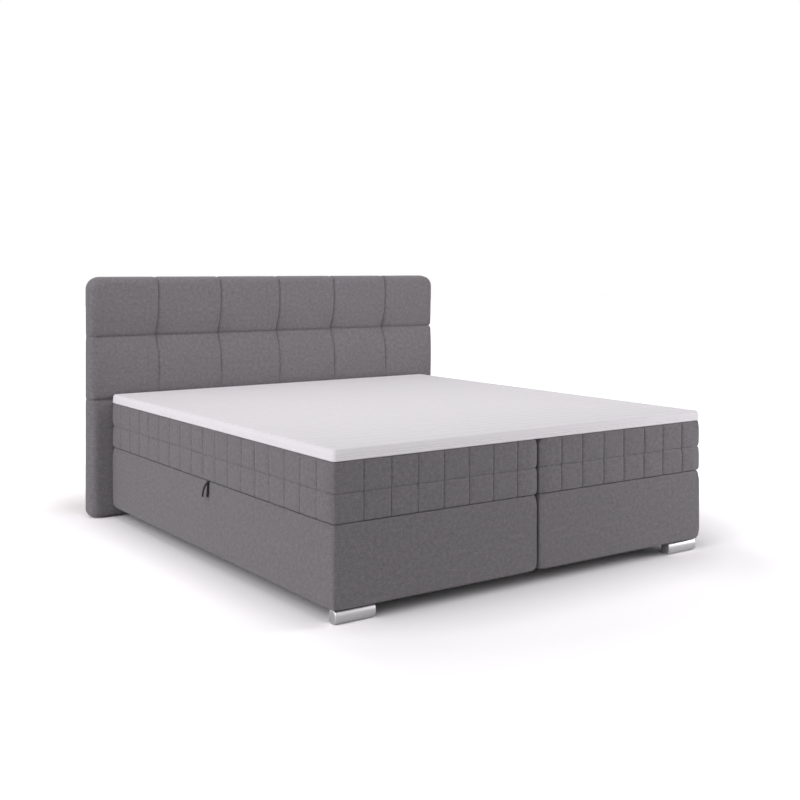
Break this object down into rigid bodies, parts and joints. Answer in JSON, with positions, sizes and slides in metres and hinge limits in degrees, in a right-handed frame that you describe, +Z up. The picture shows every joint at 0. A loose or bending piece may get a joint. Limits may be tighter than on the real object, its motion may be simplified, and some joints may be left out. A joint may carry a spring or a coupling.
{
  "type": "box spring bed",
  "caption": "Box spring bed with tufted lids that lift on gas struts over storage boxes, a thin topper, a tufted headboard and chrome bar feet.",
  "frame": {"origin": "on the floor under the middle of the bed's outer box", "axes": "+X across the bed, +Y from the foot end to the headboard, +Z up"},
  "size_m": [1.99, 2.1004, 1.138],
  "materials": {
    "grey_fabric": "finely flecked flat woven upholstery fabric",
    "white_fabric": "smooth knitted ticking",
    "chrome": "satin chrome",
    "zinc_steel": "zinc plated",
    "rod_steel": "ground and polished",
    "black_paint": "satin black paint",
    "black_plastic": "matt",
    "chipboard": "raw chipboard",
    "hardboard": "smooth hardboard",
    "pine": "planed softwood",
    "foam": "open cell foam",
    "pocket_felt": "non-woven felt",
    "webbing": "woven strap"
  },
  "bodies": {
    "root": {"box_base_left": "chipboard", "box_outer_panel_left": "chipboard", "box_inner_panel_left": "chipboard", "box_foot_panel_left": "chipboard", "box_head_panel_left": "chipboard", "box_cover_left": "grey_fabric", "chrome_foot_left": "chrome", "glider_left": "black_plastic", "headboard_bolt_left": "zinc_steel", "strut_foot_bracket_foot_left": "zinc_steel", "strut_foot_bracket_head_left": "zinc_steel", "box_base_right": "chipboard", "box_outer_panel_right": "chipboard", "box_inner_panel_right": "chipboard", "box_foot_panel_right": "chipboard", "box_head_panel_right": "chipboard", "box_cover_right": "grey_fabric", "chrome_foot_right": "chrome", "glider_right": "black_plastic", "headboard_bolt_right": "zinc_steel", "strut_foot_bracket_foot_right": "zinc_steel", "strut_foot_bracket_head_right": "zinc_steel", "pivot_post_foot": "zinc_steel", "pivot_post_head": "zinc_steel", "bridge_foot_foot": "black_plastic", "bridge_foot_head": "black_plastic", "headboard_board": "chipboard", "headboard_pad": "grey_fabric", "topper_fold": "white_fabric"},
    "lid_left": {"lid_underside_left": "hardboard", "lid_frame_left": "pine", "spring_core_left": "pocket_felt", "foam_pad_left": "foam", "lid_cover_left": "grey_fabric", "pull_strap_left": "webbing", "topper_left": "white_fabric", "hinge_leaf_foot_left": "zinc_steel", "hinge_leaf_head_left": "zinc_steel", "strut_lid_bracket_foot_left": "zinc_steel", "strut_lid_bracket_head_left": "zinc_steel"},
    "strut_cylinders_left": {"strut_cylinder_foot_left": "black_paint", "strut_cylinder_head_left": "black_paint"},
    "strut_rods_left": {"strut_rod_foot_left": "rod_steel", "strut_rod_head_left": "rod_steel"},
    "lid_right": {"lid_underside_right": "hardboard", "lid_frame_right": "pine", "spring_core_right": "pocket_felt", "foam_pad_right": "foam", "lid_cover_right": "grey_fabric", "pull_strap_right": "webbing", "topper_right": "white_fabric", "hinge_leaf_foot_right": "zinc_steel", "hinge_leaf_head_right": "zinc_steel", "strut_lid_bracket_foot_right": "zinc_steel", "strut_lid_bracket_head_right": "zinc_steel"},
    "strut_cylinders_right": {"strut_cylinder_foot_right": "black_paint", "strut_cylinder_head_right": "black_paint"},
    "strut_rods_right": {"strut_rod_foot_right": "rod_steel", "strut_rod_head_right": "rod_steel"}
  },
  "joints": [
    {"name": "lid_lift_left", "type": "hinge", "parent": "root", "child": "lid_left", "pos_m": [0, 0, 0.5233], "axis": [0, 1, 0], "range_deg": [0, 38], "deforming": ["topper_fold"]},
    {"name": "strut_swing_left", "type": "hinge", "parent": "root", "child": "strut_cylinders_left", "pos_m": [-0.07, 0, 0.143], "axis": [0, 1, 0], "range_deg": [0, 19.68]},
    {"name": "strut_slide_left", "type": "slide", "parent": "strut_cylinders_left", "child": "strut_rods_left", "axis": [-0.8443, 0, 0.5358], "range_m": [0, 0.2169]},
    {"name": "lid_lift_right", "type": "hinge", "parent": "root", "child": "lid_right", "pos_m": [0, 0, 0.5233], "axis": [0, -1, 0], "range_deg": [0, 38], "deforming": ["topper_fold"]},
    {"name": "strut_swing_right", "type": "hinge", "parent": "root", "child": "strut_cylinders_right", "pos_m": [0.07, 0, 0.143], "axis": [0, -1, 0], "range_deg": [0, 19.68]},
    {"name": "strut_slide_right", "type": "slide", "parent": "strut_cylinders_right", "child": "strut_rods_right", "axis": [0.8443, 0, 0.5358], "range_m": [0, 0.2169]}
  ],
  "couplings": [
    {"joint": "strut_swing_left", "follows": "lid_lift_left", "ratio": 0.5174},
    {"joint": "strut_slide_left", "follows": "lid_lift_left", "m_per_rad": 0.32683},
    {"joint": "strut_swing_right", "follows": "lid_lift_right", "ratio": 0.5174},
    {"joint": "strut_slide_right", "follows": "lid_lift_right", "m_per_rad": 0.32683}
  ]
}
